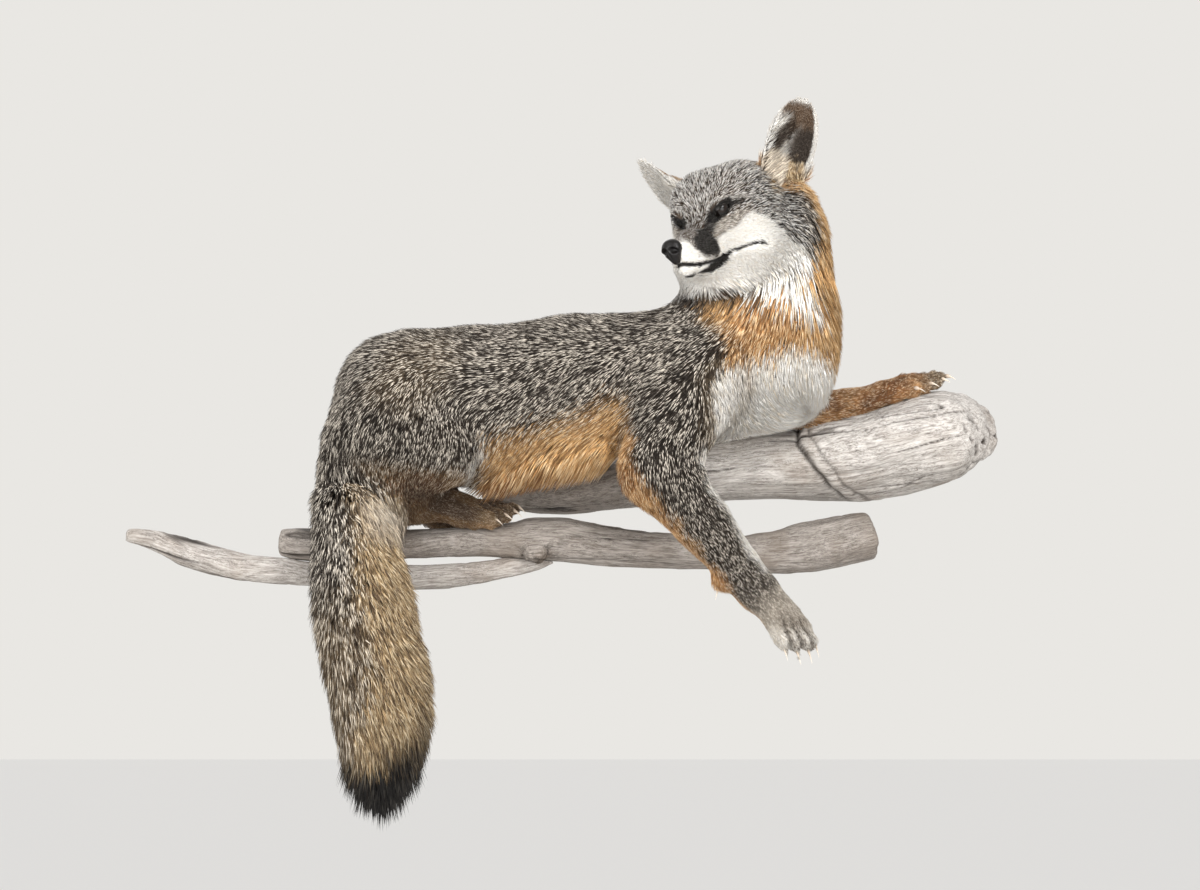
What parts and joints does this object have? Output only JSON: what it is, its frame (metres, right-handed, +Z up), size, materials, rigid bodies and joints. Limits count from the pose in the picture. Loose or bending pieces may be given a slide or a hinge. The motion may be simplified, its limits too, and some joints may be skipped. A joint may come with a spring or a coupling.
{
  "type": "taxidermy gray fox on driftwood wall mount",
  "caption": "Life-size still gray fox, lying on weathered driftwood fixed to a wall, one foreleg and the tail hanging, the head turned back.",
  "frame": {"origin": "a point on the flat back of the upper log, in the plane of the wall, under the fox's ribs", "axes": "+X along the trunk from rump to chest, +Y into the wall, +Z up"},
  "size_m": [0.7134, 0.2123, 0.5599],
  "materials": {
    "grey_coat": "grizzled fur, grey above, rust, buff and white below",
    "nose_leather": "pebbled black skin, slightly moist",
    "eye_glass": "polished dark brown glass eye",
    "claw_horn": "pale horn, worn smooth",
    "driftwood": "bare weathered silver-grey wood, finely cracked along the grain"
  },
  "bodies": {
    "root": {"trunk": "grey_coat", "neck": "grey_coat", "head": "grey_coat", "tail": "grey_coat", "ear_left": "grey_coat", "ear_right": "grey_coat", "foreleg_right": "grey_coat", "foreleg_left": "grey_coat", "hindleg_right": "grey_coat", "hindleg_left": "grey_coat", "forepaw_right": "grey_coat", "forepaw_left": "grey_coat", "hindpaw_right": "grey_coat", "hindpaw_left": "grey_coat", "nose": "nose_leather", "eye_left": "eye_glass", "eye_right": "eye_glass", "log_upper": "driftwood", "branch_middle": "driftwood", "branch_thin": "driftwood"}
  },
  "joints": []
}
